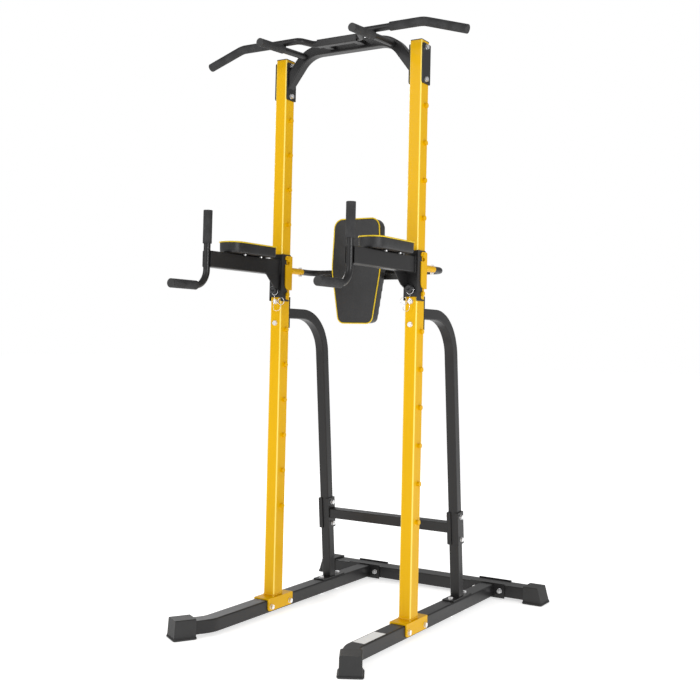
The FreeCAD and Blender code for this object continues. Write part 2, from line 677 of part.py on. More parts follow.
def arm_grips():
    upper = grip_tube([V(HALF_SPAN, HANDLE_Y, 1422), V(HALF_SPAN, HANDLE_Y, HANDLE_TOP)], [],
                      GRIP_R)
    lower = grip_tube([V(HALF_SPAN, -490, HANDLE_LOW), V(HALF_SPAN, HANDLE_FRONT, HANDLE_LOW)],
                      [], GRIP_R)
    return group([upper, lower])


def arm_end_caps():
    return group([end_plug(V(HALF_SPAN, HANDLE_Y, HANDLE_TOP), Z, GRIP_R),
                  end_plug(V(HALF_SPAN, HANDLE_FRONT, HANDLE_LOW), -Y, GRIP_R)])


def armrest_slab(inset, z0, z1, fillet):
    y0, y1 = PAD_FRONT + inset, PAD_REAR - inset
    x0, x1 = HALF_SPAN - PAD_HALF + inset, HALF_SPAN + PAD_HALF - inset
    slab = plate_outline([V(x0, y0, z0), V(x1, y0, z0), V(x1, y1, z0), V(x0, y1, z0)],
                         [42.0, 42.0, 14.0, 14.0], V(0, 0, z1 - z0))
    if not fillet:
        return slab
    return slab.makeFillet(fillet, [edge for edge in slab.Edges if edge.BoundBox.ZMin > z1 - 0.1])


def armrest_board():
    low = ARM_AXIS_Z + ARM_TUBE_Z / 2 + TAB_THICK
    board = armrest_slab(5.0, low, low + BOARD, 0)
    holes = [rod(V(HALF_SPAN + side, y, low - 1), Z, M6 + HOLE_GAP, 9.5)
             for side in (-TAB_X, TAB_X) for y in TAB_Y]
    return board.cut(group(holes))


def armrest_pad():
    """Pad whose cover wraps down round the edge of its board."""
    low = ARM_AXIS_Z + ARM_TUBE_Z / 2 + TAB_THICK
    return armrest_slab(0.0, low + 0.5, PAD_TOP, 5.0).cut(armrest_slab(5.0, low, low + BOARD, 0))


def armrest_bolts():
    face = ARM_AXIS_Z + ARM_TUBE_Z / 2
    return group([bolt(V(HALF_SPAN + side, y, face), Z, TAB_THICK + 8, M6, nut=False)
                  for side in (-TAB_X, TAB_X) for y in TAB_Y])


def locking_knob():
    head = rod(V(HALF_SPAN, KNOB_BACK, KNOB_Z), -Y, KNOB_RADIUS, KNOB_BACK - KNOB_FRONT)
    head = head.makeFillet(3.0, [edge for edge in head.Edges if len(edge.Vertexes) == 1])
    screw = rod(V(HALF_SPAN, -0.1, KNOB_Z), -Y, SCREW_R, -0.1 - KNOB_BACK + 2)
    return head.fuse(screw)


def knob_rings():
    """Split rings and the thin wire between them that hang from an arm's bracket."""
    wire = 1.2
    big = 15.0
    upper = Part.makeTorus(big, wire, V(HALF_SPAN, -9.5, KNOB_Z + BOSS_R + 0.3 + wire - big), Y)
    lower = Part.makeTorus(14, wire, V(HALF_SPAN - 27.5, -2.8, 1231.5), Y)
    curve = Part.BSplineCurve()
    curve.interpolate([V(HALF_SPAN + 3, -9.5, 1254.6), V(HALF_SPAN + 2, -12, 1220),
                       V(HALF_SPAN - 6, -13, 1194), V(HALF_SPAN - 18, -11, 1194),
                       V(HALF_SPAN - 26.5, -4, 1216.2)])
    path = Part.Wire(curve.toShape())
    section = Part.Wire(Part.makeCircle(0.8, curve.value(0), curve.tangent(0)[0]))
    return group([upper, lower, swept(section, path)])


# ---------------------------------------------------------------- backrest
def backrest_bracket():
    """Yellow channel behind an upright with hooks on both sides and a stub tube."""
    z0, z1 = BACK_PLATE_Z
    rear = UPRIGHT_Y + 0.5
    x = HALF_SPAN + HOOK_INNER
    cheek = plate_outline([V(x, 18, z0), V(x, rear + BRACKET_PLATE, z0),
                           V(x, rear + BRACKET_PLATE, z1), V(x, 18, z1)],
                          [24.0, 2.0, 6.0, 10.0], V(BRACKET_PLATE, 0, 0))
    other = cheek.translated(V(-2 * HOOK_INNER - BRACKET_PLATE, 0, 0))
    outer = HOOK_INNER + BRACKET_PLATE
    slot = hook_slot(HOOK_PEG, -1, HALF_SPAN - outer - 1, HALF_SPAN + outer + 1)
    web = box(HALF_SPAN - HOOK_INNER, HALF_SPAN + HOOK_INNER, rear, rear + BRACKET_PLATE, z0, z1 - 6)
    back = rear + BRACKET_PLATE
    stub = rod(V(HALF_SPAN, back, STUB_Z), Y, HANDLE_R, STUB_END - back)
    gusset = plate_outline([V(HALF_SPAN - 2.5, back, STUB_Z - 5), V(HALF_SPAN - 2.5, back, 1305),
                            V(HALF_SPAN - 2.5, back + 14, 1318),
                            V(HALF_SPAN - 2.5, back + 52, STUB_Z - 5)],
                           [1.0, 4.0, 6.0, 1.0], V(5, 0, 0))
    bore = rod(V(HALF_SPAN, back, STUB_Z), Y, HANDLE_R - STUB_WALL, STUB_END - back)
    pin_hole = rod(V(HALF_SPAN, JOINT_BOLT_Y, STUB_Z - 20), Z, M8 + HOLE_GAP, 40)
    bracket = fused([cheek.cut(slot), other.cut(slot), web, stub, gusset])
    return bracket.cut(bore).cut(pin_hole)


def backrest_frame():
    """Loop tube behind the pad with a lower rail that the pad's board is bolted to."""
    corners = [V(HALF_SPAN, STUB_END, STUB_Z), V(HALF_SPAN, LOOP_Y, STUB_Z),
               V(-HALF_SPAN, LOOP_Y, STUB_Z), V(-HALF_SPAN, STUB_END, STUB_Z)]
    loop = swept_round(corners, [LOOP_BEND, LOOP_BEND], HANDLE_R)
    hollow = swept_round(corners, [LOOP_BEND, LOOP_BEND], HANDLE_R - HANDLE_WALL)
    spigot_r = HANDLE_R - STUB_WALL - 0.1
    spigot = rod(V(HALF_SPAN, STUB_END - 40, STUB_Z), Y, spigot_r, 45)
    spigot = spigot.cut(rod(V(HALF_SPAN, STUB_END - 40, STUB_Z), Y, spigot_r - 2, 45))
    rail = straight_tube(V(-RAIL_HALF, RAIL_Y, RAIL_Z), V(RAIL_HALF, RAIL_Y, RAIL_Z), Y, Z,
                         RAIL_Y_SIZE, RAIL_Z_SIZE, 3.0, 2.0)
    arm = plate_outline([V(RAIL_ARM_X - 3, RAIL_Y + RAIL_Y_SIZE / 2, RAIL_Z - 10),
                         V(RAIL_ARM_X - 3, LOOP_Y, RAIL_Z + 6), V(RAIL_ARM_X - 3, LOOP_Y, STUB_Z),
                         V(RAIL_ARM_X - 3, RAIL_Y + RAIL_Y_SIZE / 2, RAIL_Z + 10)],
                        [1.0, 1.0, 1.0, 1.0], V(6, 0, 0))
    frame = fused([loop.cut(hollow), spigot, mirrored(spigot), rail,
                   arm.cut(hollow), mirrored(arm.cut(hollow))])
    cuts = [rod(V(side * HALF_SPAN, JOINT_BOLT_Y, STUB_Z - 20), Z, M8 + HOLE_GAP, 40)
            for side in (-1, 1)]
    cuts += [rod(V(side * 30, RAIL_Y - 20, RAIL_Z), Y, M8 + HOLE_GAP, 40) for side in (-1, 1)]
    return frame.cut(group(cuts))


def backrest_outline(y):
    right = [(75, 1150), (109, 1362), (100, 1560)]
    corners = [V(x, y, z) for x, z in right] + [V(-x, y, z) for x, z in reversed(right)]
    radii = [28.0, 260.0, 36.0]
    return outline(corners, radii + radii[::-1])


def backrest_pad():
    """Pad whose cover wraps back round the edge of its board."""
    rear = BACK_PAD_REAR + BACK_PAD_WRAP
    slab = Part.Face(backrest_outline(rear)).extrude(V(0, BACK_PAD_FRONT - rear, 0))
    slab = slab.makeFillet(5.0, [edge for edge in slab.Edges
                                 if edge.BoundBox.YMax < BACK_PAD_FRONT + 0.1])
    inner = backrest_outline(BACK_PAD_REAR).makeOffset2D(-6)
    return slab.cut(Part.Face(inner).extrude(V(0, BACK_PAD_WRAP + 1, 0)))


def backrest_board():
    inner = backrest_outline(BACK_PAD_REAR).makeOffset2D(-6)
    board = Part.Face(inner).extrude(V(0, BACK_BOARD_REAR - BACK_PAD_REAR, 0))
    holes = [rod(V(side * 30, BACK_PAD_REAR + 1, RAIL_Z), Y, M8 + HOLE_GAP, 20) for side in (-1, 1)]
    return board.cut(group(holes))


def backrest_pad_bolts():
    face = RAIL_Y + RAIL_Y_SIZE / 2
    return both(bolt(V(30, face, RAIL_Z), -Y, face - BACK_PAD_REAR - 1.5, M8, nut=False))


def backrest_joint_bolts():
    return both(bolt(V(HALF_SPAN, JOINT_BOLT_Y, STUB_Z + HANDLE_R), -Z, 2 * HANDLE_R, M8,
                     washer=False))


# ------------------------------------------------------------------- export
def sided(name, shape):
    """A right-hand node and its mirrored left-hand twin."""
    return {name + "_right": shape, name + "_left": mirrored(shape)}


def nodes():
    parts = {
        "front_feet": both(front_foot()),
        "rear_crossbeam": rear_crossbeam(),
        "rear_feet": both(rear_foot()),
        "crossbeam_backing_plates": backing_plates(),
        "crossbeam_bolts": crossbeam_bolts(),
        "base_label": base_label(),
        "splice_sleeves": splice_sleeves(),
        "upright_caps": upright_caps(),
        "pegs": pegs(),
        "saddle_bolts": saddle_bolts(),
        "splice_bolts": splice_bolts(),
        "leg_foot_bolts": leg_foot_bolts(),
        "leg_cross_brace": leg_cross_brace(),
        "leg_clamp_plates": leg_clamp_plates(),
        "clamp_bolts": clamp_bolts(),
        "top_crossmember": top_crossmember(),
        "top_side_plates": top_side_plates(),
        "top_bracket_bolts": top_bracket_bolts(),
        "front_bar": front_bar(),
        "neutral_grips": neutral_grips(),
        "bar_end_caps": bar_end_caps(),
        "backrest_brackets": both(backrest_bracket()),
        "backrest_frame": backrest_frame(),
        "backrest_board": backrest_board(),
        "backrest_pad": backrest_pad(),
        "backrest_pad_bolts": backrest_pad_bolts(),
        "backrest_joint_bolts": backrest_joint_bolts(),
    }
    for name, make in (("base_beam", base_beam), ("upright_lower", upright_lower),
                       ("upright_upper", upright_upper), ("rear_leg", rear_leg),
                       ("wide_handle", wide_handle), ("wide_grip", wide_grip),
                       ("neutral_handle", neutral_handle), ("arm_frame", arm_frame),
                       ("arm_handle", arm_handle), ("arm_grips", arm_grips),
                       ("arm_end_caps", arm_end_caps), ("armrest_board", armrest_board),
                       ("armrest_pad", armrest_pad), ("armrest_bolts", armrest_bolts),
                       ("locking_knob", locking_knob), ("knob_rings", knob_rings)):
        parts.update(sided(name, make()))
    return parts


def main():
    os.makedirs("parts", exist_ok=True)
    for name, shape in nodes().items():
        shape.translated(V(0, -MIDDLE_Y, 0)).exportStep("parts/%s.step" % name)


main()
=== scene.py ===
import json
import math

import bpy
import numpy as np
from mathutils import Matrix, Vector


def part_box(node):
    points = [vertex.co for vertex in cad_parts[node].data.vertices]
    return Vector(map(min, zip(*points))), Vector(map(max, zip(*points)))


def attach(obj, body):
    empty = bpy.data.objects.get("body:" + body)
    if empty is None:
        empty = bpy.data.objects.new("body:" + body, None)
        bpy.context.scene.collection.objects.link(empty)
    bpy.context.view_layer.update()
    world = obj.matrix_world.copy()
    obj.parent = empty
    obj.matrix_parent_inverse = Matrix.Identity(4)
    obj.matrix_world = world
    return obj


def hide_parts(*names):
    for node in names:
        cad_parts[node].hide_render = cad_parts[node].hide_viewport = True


bl_info = {
    "name": "Power tower looks",
    "version": (1, 0, 0),
    "blender": (4, 5, 0),
    "location": "View3D > Sidebar > Tower",
    "description": "Upholstery, knobs, weld beads, finishes and studio for a power tower",
    "category": "Object",
}

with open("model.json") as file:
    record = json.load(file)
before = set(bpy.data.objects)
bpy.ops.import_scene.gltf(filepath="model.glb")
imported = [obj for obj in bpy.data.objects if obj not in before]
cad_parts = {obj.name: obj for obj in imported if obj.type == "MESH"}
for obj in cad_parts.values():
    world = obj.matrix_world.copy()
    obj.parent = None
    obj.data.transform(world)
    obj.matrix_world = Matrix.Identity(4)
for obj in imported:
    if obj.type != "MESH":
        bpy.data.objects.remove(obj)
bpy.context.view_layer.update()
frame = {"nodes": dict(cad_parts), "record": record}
SIDES = {"left": -1, "right": 1}

# Places and measures that no user would change, in metres unless they say otherwise
SEAM_DEPTH = 0.004            # from a pad's face back to its seam
FACE_DEPTH = 0.0015           # from a pad's face back to its cover, before the cover swells
BACK_INSET = 0.0015           # how far a cover's back edge starts inside its outline
EDGE_SETBACK = 1.6            # how far a cover's face edge is set in, in times its depth
PIPING_STAND_OUT = 0.0006     # from the outline out to the piping's middle
STITCH_INSET = 0.0008         # from the outline in to the stitches
STITCH_DEPTH = 0.0045         # from the seam back to the stitches
THREAD_RADIUS = 0.00055
THREAD_SHARE = 0.80           # share of a stitch's length that its thread fills
ARMREST_CORNERS = (0.042, 0.014)      # radii at the armrests' front and back corners
COVER_PRESSURE = 4.0          # of the air in a cover, as the cloth simulation counts it
COVER_FRAMES = 20             # frames in which a cover takes its shape
KNOB_HEAD = 0.0114            # thickness of a knob's head
KNOB_LOBES = 10
KNOB_LOBE_DEPTH = 0.055       # share of the knob's radius
LEG_HEAD_HEIGHT = 1.186       # of the rear legs' upper ends, on the uprights' backs
LEG_TUBE = 0.040              # side of the rear legs' square tube
ARM_RAIL_HEIGHT = 1.366       # of the dip arms' rails, on their brackets' fronts
ARM_TUBE = (0.040, 0.060)     # width and height of the rails
PLATE = 0.005                 # thickness of the plates that tubes are welded to
BEAD_STAND_OFF = 0.0053       # from a tube's face or a beam's top to a bead on its plate
FRONT_FOOT_TURN = math.radians(30)
SOLE_HEIGHT = 0.001           # points of a foot below this are its sole's
SOLE_CORNER = 0.007           # radius of a sole's corners
FLOOR_REACH = 40.0
FLOOR_GAP = 0.0005            # from the soles down to the floor
FLOOR_GLOW = 0.62             # strength of the floor's own light
# Each light's place, what it points at, its width, and its power in watts
LIGHTS = {
    "front": ((-1.2, -4.2, 3.0), (0, 0, 1.1), 2.4, 58.0),
    "side": ((4.0, -2.0, 1.9), (0, 0, 1.1), 1.0, 62.0),
    "back": ((-3.2, 2.6, 3.0), (0, 0, 1.2), 1.8, 60.0),
}


# ------------------------------------------------------------------ settings
class TowerSizes(bpy.types.PropertyGroup):
    """Sizes of the pieces that are made here."""
    piping: bpy.props.FloatProperty(
        name="Piping radius", description="Radius of the piping along the pads' seams",
        default=0.0024, min=0.001, max=0.006, unit="LENGTH")
    voxel: bpy.props.FloatProperty(
        name="Pad mesh", description="Edge length of the pads' cloth mesh",
        default=0.005, min=0.003, max=0.01, unit="LENGTH")
    crown: bpy.props.FloatProperty(
        name="Crown", description="The furthest that a pad's cover swells",
        default=0.006, min=0.0, max=0.02, unit="LENGTH")
    bead: bpy.props.FloatProperty(
        name="Weld bead", description="Radius of the weld beads",
        default=0.0024, min=0.001, max=0.005, unit="LENGTH")
    lip: bpy.props.FloatProperty(
        name="Foot lip", description="Radius of the moulded lip round each foot's sole",
        default=0.0042, min=0.001, max=0.008, unit="LENGTH")
    stitch: bpy.props.FloatProperty(
        name="Stitch length", description="Length of one stitch beside the piping",
        default=0.0042, min=0.002, max=0.01, unit="LENGTH")


class TowerColours(bpy.types.PropertyGroup):
    """Colours of the finishes, as linear light."""
    yellow: bpy.props.FloatVectorProperty(
        name="Yellow coat", description="Powder coat of the uprights",
        default=(0.77, 0.43, 0.0), size=3, subtype="COLOR", min=0.0, max=1.0)
    black: bpy.props.FloatVectorProperty(
        name="Black coat", description="Powder coat of the base, legs, bars and arms",
        default=(0.012, 0.0116, 0.012), size=3, subtype="COLOR", min=0.0, max=1.0)
    cover: bpy.props.FloatVectorProperty(
        name="Pad cover", description="Leatherette of the pads",
        default=(0.014, 0.014, 0.015), size=3, subtype="COLOR", min=0.0, max=1.0)
    piping: bpy.props.FloatVectorProperty(
        name="Piping", description="Vinyl piping along the pads' seams",
        default=(0.80, 0.56, 0.004), size=3, subtype="COLOR", min=0.0, max=1.0)
    foam: bpy.props.FloatVectorProperty(
        name="Foam", description="Foam sleeves on the handles",
        default=(0.030, 0.030, 0.031), size=3, subtype="COLOR", min=0.0, max=1.0)
    rubber: bpy.props.FloatVectorProperty(
        name="Feet", description="Moulded feet and end plugs",
        default=(0.018, 0.018, 0.018), size=3, subtype="COLOR", min=0.0, max=1.0)


class TowerStudio(bpy.types.PropertyGroup):
    """Camera and lights."""
    eye: bpy.props.FloatVectorProperty(
        name="Camera", description="Where the camera stands",
        default=(2.0884, -3.41685, 1.0762), size=3, unit="LENGTH")
    yaw: bpy.props.FloatProperty(
        name="Yaw", description="How far the camera is turned to its left of straight back",
        default=0.542, unit="ROTATION")
    pitch: bpy.props.FloatProperty(
        name="Pitch", description="How far the camera looks up", default=0.032, unit="ROTATION")
    roll: bpy.props.FloatProperty(
        name="Roll", description="How far the camera leans", default=0.022, unit="ROTATION")
    lens: bpy.props.FloatProperty(
        name="Lens", description="Focal length in mm on a 36 mm wide sensor", default=52.59)
    shift: bpy.props.FloatVectorProperty(
        name="Shift", description="Lens shift to the side and up, in picture widths",
        default=(-0.0164, -0.058), size=2)
    sky: bpy.props.FloatProperty(
        name="Surroundings", description="Strength of the even white surroundings",
        default=0.45, min=0.0, max=5.0)


def sizes():
    return bpy.context.scene.tower_sizes


def colours():
    return bpy.context.scene.tower_colours


# -------------------------------------------------------------------- shading
class Term:
    """A shader socket that can be written into Python sums."""

    def __init__(self, shader, socket):
        self.shader = shader
        self.socket = socket

    def math(self, operation, first, second):
        node = self.shader.node("ShaderNodeMath", {"operation": operation}, {0: first, 1: second})
        return Term(self.shader, node.outputs[0])

    def __add__(self, other):
        return self.math("ADD", self, other)

    __radd__ = __add__

    def __mul__(self, other):
        return self.math("MULTIPLY", self, other)

    __rmul__ = __mul__

    def __sub__(self, other):
        return self.math("SUBTRACT", self, other)

    def __rsub__(self, other):
        return self.math("SUBTRACT", other, self)

    def __abs__(self):
        return self.math("ABSOLUTE", self, 0.0)


class Shader:
    """One procedural material on object coordinates, in metres."""

    def __init__(self, name):
        self.material = bpy.data.materials.new(name)
        self.material.use_nodes = True
        self.tree = self.material.node_tree
        self.tree.nodes.clear()
        self.place = Term(self, self.node("ShaderNodeTexCoord").outputs["Object"])

    def node(self, kind, settings=None, values=None):
        """A node with its settings made first, then its sockets given values or links."""
        made = self.tree.nodes.new(kind)
        for name, value in (settings or {}).items():
            setattr(made, name, value)
        for name, value in (values or {}).items():
            if isinstance(value, Term):
                self.tree.links.new(value.socket, made.inputs[name])
            else:
                made.inputs[name].default_value = value
        return made

    def noise(self, scale, detail=3.0, roughness=0.55, stretch=None):
        """Soft noise from 0 to 1, finer along an axis whose stretch is larger."""
        place = self.stretched(stretch) if stretch else self.place
        node = self.node("ShaderNodeTexNoise", None, {"Vector": place, "Scale": scale,
                                                      "Detail": detail, "Roughness": roughness})
        return Term(self, node.outputs[0])

    def cells(self, scale, feature="F1"):
        """Distance to the nearest cell's middle, or to the nearest edge between cells."""
        node = self.node("ShaderNodeTexVoronoi", {"feature": feature},
                         {"Vector": self.place, "Scale": scale})
        return Term(self, node.outputs["Distance"])

    def stretched(self, scale):
        node = self.node("ShaderNodeMapping", None, {"Vector": self.place, "Scale": scale})
        return Term(self, node.outputs[0])

    def axis(self, name):
        """One coordinate of the point being shaded."""
        node = self.node("ShaderNodeSeparateXYZ", None, {0: self.place})
        return Term(self, node.outputs[name])

    def mix(self, factor, low, high):
        """A colour between low and high, each of them a colour or a Term."""
        first, second = (c if isinstance(c, Term) else (*c, 1.0) for c in (low, high))
        node = self.node("ShaderNodeMix", {"data_type": "RGBA"}, {0: factor, 6: first, 7: second})
        return Term(self, node.outputs[2])

    def span(self, value, low, high, out_low=0.0, out_high=1.0):
        """value taken from low..high to out_low..out_high and held at both ends."""
        node = self.node("ShaderNodeMapRange", {"clamp": True},
                         {0: value, 1: low, 2: high, 3: out_low, 4: out_high})
        return Term(self, node.outputs[0])

    def bump(self, height, depth, below=None):
        """A normal pushed by the height times depth in metres, over another bump or none."""
        values = {"Height": height, "Strength": 1.0, "Distance": depth}
        if below is not None:
            values["Normal"] = below
        return Term(self, self.node("ShaderNodeBump", None, values).outputs[0])

    def finish(self, colour, roughness, normal, metallic=0.0, **constants):
        """The finished material. Constants name the shader's other sockets, with _ for a space."""
        values = {"Base Color": colour, "Roughness": roughness, "Normal": normal,
                  "Metallic": metallic}
        values.update({name.replace("_", " "): value for name, value in constants.items()})
        surface = self.node("ShaderNodeBsdfPrincipled", None, values)
        output = self.node("ShaderNodeOutputMaterial", None,
                           {"Surface": Term(self, surface.outputs[0])})
        output.is_active_output = True
        return self.material


def tint(colour, factor):
    """The colour times factor, held at 1."""
    return tuple(min(1.0, c * factor) for c in colour)


def upright_corner_highlight(shader):
    """1 on the rounded corners of the two uprights, where a paler colour is painted as a highlight
    and the coat is smoother.
    """
    low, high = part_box("upright_upper_right")
    middle, half = (low + high) / 2, (high - low) / 2
    across = abs(abs(shader.axis("X")) - middle.x) - half.x
    along = abs(shader.axis("Y") - middle.y) - half.y
    corner = shader.span(across, -0.005, -0.003) * shader.span(along, -0.005, -0.003)
    outside = shader.span(across, 0.0002, 0.0008) + shader.span(along, 0.0002, 0.0008)
    return corner * shader.span(outside, 0.0, 0.5, 1.0, 0.0)


def powder_coat(name, colour, dust, gloss, level, corners=None):
    """Powder coat: a fine orange peel, broad changes of shade, faint handling marks and, when
    corners is given, a painted highlight on the uprights' corners.
    """
    shader = Shader(name)
    broad = shader.noise(2.3, 3.0)
    marks = shader.span(shader.noise(38.0, 6.0, 0.7, (1.0, 1.0, 0.25)), 0.62, 0.78)
    peel = shader.noise(900.0, 2.0, 0.5)
    waves = shader.noise(210.0, 2.0, 0.5)
    shade = shader.mix(broad, tint(colour, 0.90), tint(colour, 1.08))
    shade = shader.mix(marks * 0.35, shade, dust)
    rough = gloss + broad * 0.08 + marks * 0.10 + peel * 0.05
    if corners is not None:
        # Painted highlight: a paler colour on the uprights' rounded corners, where the coat is also
        # smoother
        paler_mask = upright_corner_highlight(shader)
        shade = shader.mix(paler_mask, shade, corners)
        rough = rough - paler_mask * 0.15
    normal = shader.bump(peel, 0.00004, shader.bump(waves, 0.00010))
    return shader.finish(shade, rough, normal, Specular_IOR_Level=level,
                         Coat_Weight=0.08, Coat_Roughness=0.08)


def zinc_plate(name, colour, rough, stain):
    """Bright zinc: brushed streaks, darker patches and fine pits."""
    shader = Shader(name)
    streaks = shader.noise(420.0, 4.0, 0.6, (1.0, 1.0, 6.0))
    patches = shader.span(shader.noise(85.0, 4.0), 0.45, 0.75)
    pits = shader.cells(1400.0)
    shade = shader.mix(patches, colour, stain)
    return shader.finish(shade, rough + streaks * 0.14 + patches * 0.12,
                         shader.bump(streaks + pits * 0.4, 0.00003), 1.0)


def foam_sleeve(name, colour):
    """Closed-cell foam: a skin of fine pores with painted shade in them, soft dents and rubbed,
    paler patches.
    """
    shader = Shader(name)
    pores = shader.cells(950.0)
    dents = shader.noise(120.0, 4.0, 0.6)
    rubbed = shader.span(shader.noise(24.0, 3.0), 0.4, 0.75)
    shade = shader.mix(rubbed, tint(colour, 0.85), tint(colour, 1.7))
    # Painted shade: the pores are darkened
    shade = shader.mix(shader.span(pores, 0.0, 0.35), tint(colour, 0.5), shade)
    normal = shader.bump(pores, 0.00028, shader.bump(dents, 0.0006))
    return shader.finish(shade, 0.78 + rubbed * 0.12, normal, Specular_IOR_Level=0.35)


def moulded(name, colour, scale=700.0, rough=0.5, depth=0.0001):
    """Moulded rubber or plastic: a spark-eroded grain, scuffs and faint flow marks."""
    shader = Shader(name)
    grain = shader.cells(scale)
    flow = shader.noise(14.0, 4.0, 0.6, (1.0, 1.0, 3.0))
    scuffs = shader.span(shader.noise(60.0, 7.0, 0.75), 0.60, 0.74)
    shade = shader.mix(flow, tint(colour, 0.8), tint(colour, 1.35))
    shade = shader.mix(scuffs * 0.5, shade, tint(colour, 4.0))
    return shader.finish(shade, rough + scuffs * 0.18 + flow * 0.06, shader.bump(grain, depth))


def leatherette(name, colour):
    """Leatherette: pebbled cells with fine creases between them, painted shade in the creases, and
    a soft sheen.
    """
    shader = Shader(name)
    pebble = shader.cells(620.0)
    creases = shader.cells(620.0, "DISTANCE_TO_EDGE")
    wrinkle = shader.noise(34.0, 5.0, 0.6)
    # Paler worn patches, at random
    paler_mask = shader.span(shader.noise(9.0, 3.0), 0.35, 0.8)
    shade = shader.mix(paler_mask, tint(colour, 0.85), tint(colour, 1.9))
    # Painted shade: the creases between the pebbles are darkened
    shade = shader.mix(shader.span(creases, 0.0, 0.10), tint(colour, 0.45), shade)
    rough = 0.38 + pebble * 0.12 + paler_mask * 0.10
    normal = shader.bump(pebble, 0.00016, shader.bump(wrinkle, 0.0013))
    return shader.finish(shade, rough, normal, Sheen_Weight=0.08, Sheen_Roughness=0.4)


def vinyl_cord(name, colour):
    """Piping: smooth vinyl over a cord, with the cord's twist showing faintly through."""
    shader = Shader(name)
    twist = shader.noise(760.0, 2.0, 0.5)
    soiled = shader.span(shader.noise(30.0, 4.0), 0.5, 0.8)
    shade = shader.mix(soiled, colour, tint(colour, 0.72))
    return shader.finish(shade, 0.42 + soiled * 0.15, shader.bump(twist, 0.00012))


def thread(name, colour):
    """Sewing thread: two twisted plies with a soft matt surface."""
    shader = Shader(name)
    plies = shader.noise(2600.0, 3.0, 0.6)
    shade = shader.mix(plies, tint(colour, 0.6), tint(colour, 1.4))
    return shader.finish(shade, 0.75 + plies * 0.1, shader.bump(plies, 0.0001))


def stained_ply(name):
    """Black-stained plywood: long grain, pores, and paler plies on the cut edges."""
    shader = Shader(name)
    grain = shader.noise(26.0, 8.0, 0.7, (1.0, 0.12, 1.0))
    pores = shader.noise(300.0, 4.0, 0.7, (1.0, 0.08, 1.0))
    plies = shader.node("ShaderNodeTexWave", {"bands_direction": "Z"},
                        {"Vector": shader.place, "Scale": 160.0, "Distortion": 1.2})
    shade = shader.mix(grain, (0.012, 0.010, 0.008), (0.035, 0.027, 0.02))
    shade = shader.mix(Term(shader, plies.outputs[1]) * 0.25, shade, (0.05, 0.036, 0.024))
    return shader.finish(shade, 0.66 + pores * 0.2, shader.bump(pores + grain, 0.00035))


def label_film(name):
    """A blank printed film: paper-white, slightly yellowed, with a rippled adhesive."""
    shader = Shader(name)
    ripple = shader.noise(90.0, 3.0)
    age = shader.noise(22.0, 4.0)
    shade = shader.mix(age, (0.84, 0.84, 0.83), (0.95, 0.95, 0.94))
    return shader.finish(shade, 0.42 + ripple * 0.15, shader.bump(ripple, 0.0002))


def weld_metal(name, colour):
    """Painted weld bead: the coat over ripples and spatter."""
    shader = Shader(name)
    spatter = shader.cells(480.0)
    shade = shader.mix(shader.noise(60.0), tint(colour, 0.7), tint(colour, 1.25))
    return shader.finish(shade, 0.42 + spatter * 0.15, shader.bump(spatter, 0.0003))


def studio_floor(name):
    """Pale seamless paper with a hardly visible tooth."""
    shader = Shader(name)
    tooth = shader.noise(55.0, 5.0)
    shade = shader.mix(tooth, (0.86, 0.86, 0.86), (0.90, 0.90, 0.90))
    return shader.finish(shade, 0.82 + tooth * 0.08, shader.bump(tooth, 0.0001),
                         Emission_Color=(1.0, 1.0, 1.0, 1.0), Emission_Strength=FLOOR_GLOW)


def paint(obj, material):
    """Give the whole object one material."""
    obj.data.materials.clear()
    obj.data.materials.append(material)
    obj.data.polygons.foreach_set("material_index", np.zeros(len(obj.data.polygons), np.int32))
    return obj


# ------------------------------------------------------------------- surfaces
def in_scene(name, data):
    """A new object in the scene that holds the mesh, camera or light."""
    obj = bpy.data.objects.new(name, data)
    bpy.context.scene.collection.objects.link(obj)
    return obj


def smooth_mesh(name, points, faces):
    """A smooth-shaded object of these points and faces, with its faces outwards."""
    mesh = bpy.data.meshes.new(name)
    mesh.from_pydata(points.tolist(), [], faces)
    mesh.update()
    mesh.shade_smooth()
    return face_outwards(in_scene(name, mesh))


def surface(name, grid, close_u=True, close_v=False, caps=False):
    """A mesh from a grid of points, shape (u, v, 3), with quads between neighbours.

    close_u and close_v join the last row to the first; caps closes the two ends of
    an open v direction with a fan to the end rows' middles."""
    rows, columns = grid.shape[:2]
    points = grid.reshape(-1, 3)
    index = np.arange(rows * columns).reshape(rows, columns)
    u_next = np.roll(index, -1, axis=0)
    v_next = np.roll(index, -1, axis=1)
    both_next = np.roll(u_next, -1, axis=1)
    quads = np.stack([index, u_next, both_next, v_next], axis=-1)
    quads = quads[:rows if close_u else rows - 1, :columns if close_v else columns - 1]
    faces = quads.reshape(-1, 4).tolist()
    if caps:
        middles = np.stack([grid[:, 0].mean(0), grid[:, -1].mean(0)])
        first, last = len(points), len(points) + 1
        points = np.concatenate([points, middles])
        ring = index[:, 0]
        faces += np.stack([np.full(rows, first), np.roll(ring, -1), ring], 1).tolist()
        ring = index[:, -1]
        faces += np.stack([np.full(rows, last), ring, np.roll(ring, -1)], 1).tolist()
    return smooth_mesh(name, points, faces)


def coordinates(mesh):
    """The mesh's points, as an array of shape (n, 3)."""
    points = np.zeros(len(mesh.vertices) * 3)
    mesh.vertices.foreach_get("co", points)
    return points.reshape(-1, 3)


def face_outwards(obj):
    """Turn all of the object's faces round if they enclose a negative volume.

    The volume is a sixth of the sum of a . (b x c) over the triangles a, b, c."""
    mesh = obj.data
    points = coordinates(mesh)
    mesh.calc_loop_triangles()
    corners = np.zeros(len(mesh.loop_triangles) * 3, np.int32)
    mesh.loop_triangles.foreach_get("vertices", corners)
    a, b, c = points[corners.reshape(-1, 3)].transpose(1, 0, 2)
    if np.einsum("ij,ij->i", a, np.cross(b, c)).sum() < 0:
        mesh.flip_normals()
    return obj


